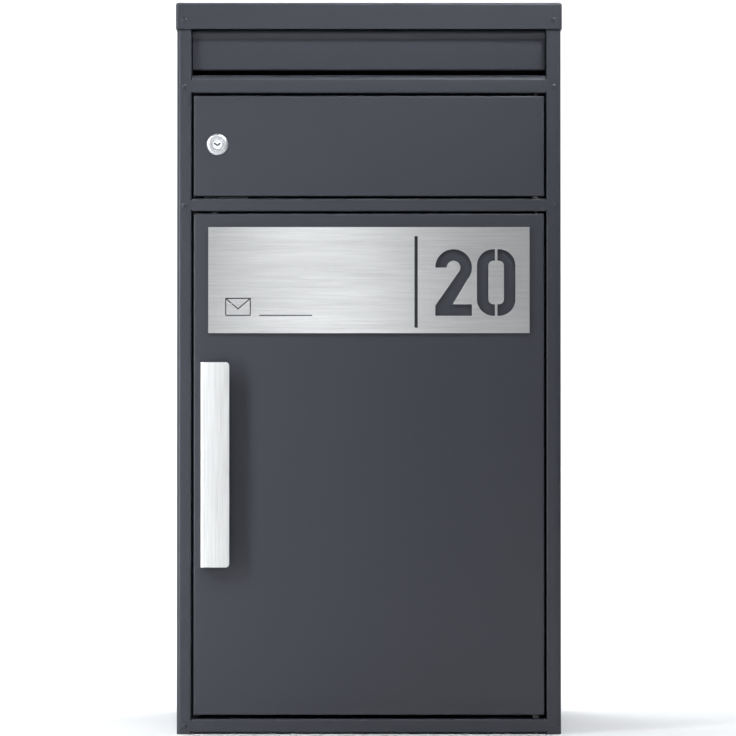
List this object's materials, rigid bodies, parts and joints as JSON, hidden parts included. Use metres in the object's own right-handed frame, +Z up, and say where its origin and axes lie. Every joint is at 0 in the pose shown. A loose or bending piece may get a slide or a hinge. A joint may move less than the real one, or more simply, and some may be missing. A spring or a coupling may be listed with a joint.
{
  "type": "parcel letterbox",
  "caption": "Free-standing sheet-steel mailbox unit: letter flap under a folded roof, a lockable letter door and a tall parcel door with bar handle and stencilled number plate.",
  "frame": {"origin": "middle of the footprint, on the ground under the bounding box", "axes": "+Z up; the doors face -Y; +X is the hinge side, to the right as one faces the doors"},
  "size_m": [0.4226, 0.364, 0.8],
  "materials": {
    "anthracite_paint": "satin fine-texture powder coat",
    "brushed_steel": "brushed",
    "chrome": "polished",
    "zinc_plate": "zinc plated",
    "black_rubber": "matte",
    "black_plastic": "matte",
    "black_steel": "blackened"
  },
  "bodies": {
    "cabinet": {"back_panel": "anthracite_paint", "buffer_letter_door": "black_rubber", "buffer_parcel_lower": "black_rubber", "buffer_parcel_upper": "black_rubber", "compartment_floor": "anthracite_paint", "flap_rod": "black_steel", "floor_panel": "anthracite_paint", "latch_guide": "zinc_plate", "latch_spring": "zinc_plate", "left_side_panel": "anthracite_paint", "letter_guard": "anthracite_paint", "letter_hinge_pin_lower": "black_steel", "letter_hinge_pin_upper": "black_steel", "letter_hinge_washer": "black_plastic", "lever_pivot_pin": "zinc_plate", "lower_rail": "anthracite_paint", "middle_rail": "anthracite_paint", "parcel_hinge_pin_lower": "black_steel", "parcel_hinge_pin_upper": "black_steel", "parcel_hinge_washer": "black_plastic", "right_side_panel": "anthracite_paint", "rivet_lower_left": "anthracite_paint", "rivet_lower_right": "anthracite_paint", "rivet_middle_left": "anthracite_paint", "rivet_middle_right": "anthracite_paint", "rivet_roof_left": "anthracite_paint", "rivet_roof_right": "anthracite_paint", "rivet_upper_left": "anthracite_paint", "rivet_upper_right": "anthracite_paint", "roof": "anthracite_paint", "top_rail": "anthracite_paint", "upper_rail": "anthracite_paint"},
    "letter_flap": {"letter_flap": "anthracite_paint"},
    "letter_door": {"letter_door": "anthracite_paint", "lock_housing": "chrome", "lock_nut": "zinc_plate"},
    "lock_cylinder": {"lock_plug": "chrome", "lock_cam": "zinc_plate", "cam_nut": "zinc_plate"},
    "parcel_door": {"parcel_door": "anthracite_paint", "door_stiffener": "anthracite_paint", "latch_keeper": "zinc_plate", "handle": "brushed_steel", "handle_screw_lower": "zinc_plate", "handle_screw_upper": "zinc_plate", "name_plate": "brushed_steel", "plate_tape_left": "black_rubber", "plate_tape_right": "black_rubber"},
    "latch_bolt": {"latch_bolt": "zinc_plate"},
    "release_lever": {"release_lever": "zinc_plate", "lever_grip": "black_plastic"}
  },
  "joints": [
    {"name": "flap_swing", "type": "hinge", "parent": "cabinet", "child": "letter_flap", "pos_m": [0, -0.146, 0.768], "axis": [1, 0, 0], "range_deg": [0, 70]},
    {"name": "letter_door_swing", "type": "hinge", "parent": "cabinet", "child": "letter_door", "pos_m": [0.1827, -0.153, 0.643], "axis": [0, 0, 1], "range_deg": [0, 100]},
    {"name": "lock_turn", "type": "hinge", "parent": "letter_door", "child": "lock_cylinder", "pos_m": [-0.1657, -0.158, 0.6445], "axis": [0, 1, 0], "range_deg": [0, 90]},
    {"name": "parcel_door_swing", "type": "hinge", "parent": "cabinet", "child": "parcel_door", "pos_m": [0.1827, -0.153, 0.295], "axis": [0, 0, 1], "range_deg": [0, 100]},
    {"name": "release_lever_turn", "type": "hinge", "parent": "cabinet", "child": "release_lever", "pos_m": [-0.145, -0.1303, 0.602], "axis": [0, -1, 0], "range_deg": [0, 27.5]},
    {"name": "latch_bolt_slide", "type": "slide", "parent": "cabinet", "child": "latch_bolt", "axis": [0, 0, -1], "range_m": [0, 0.01225], "deforming": ["latch_spring"]}
  ],
  "couplings": [
    {"joint": "latch_bolt_slide", "follows": "release_lever_turn", "m_per_rad": 0.025491}
  ]
}
